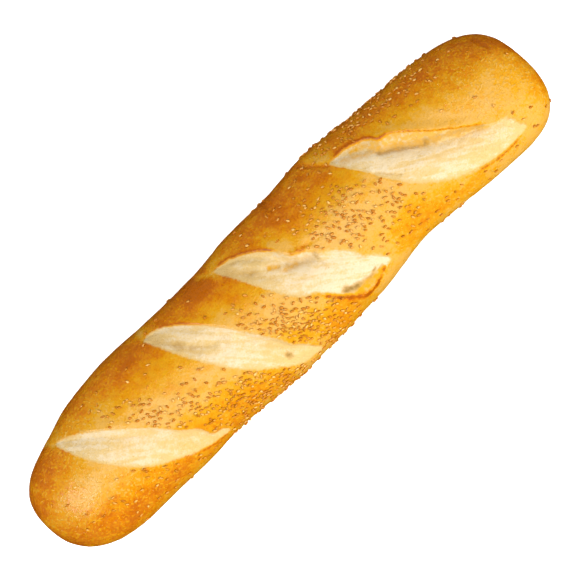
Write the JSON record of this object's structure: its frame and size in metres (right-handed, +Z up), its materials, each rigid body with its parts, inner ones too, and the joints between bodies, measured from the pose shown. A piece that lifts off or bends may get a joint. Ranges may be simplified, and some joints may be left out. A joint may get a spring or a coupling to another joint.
{
  "type": "baguette",
  "caption": "Short, plump wheat loaf lying on its flat base, with slanting slashes opened to pale crumb and sesame seeds scattered over a golden crust.",
  "frame": {"origin": "on the table, under the middle of the loaf's bounding box", "axes": "+X along the loaf towards its blunter end, +Y across it, +Z up out of the slashed top"},
  "size_m": [0.43, 0.0996, 0.0686],
  "materials": {
    "crust": "satin",
    "sesame": "satin"
  },
  "bodies": {
    "root": {"baguette": "crust"}
  },
  "joints": []
}
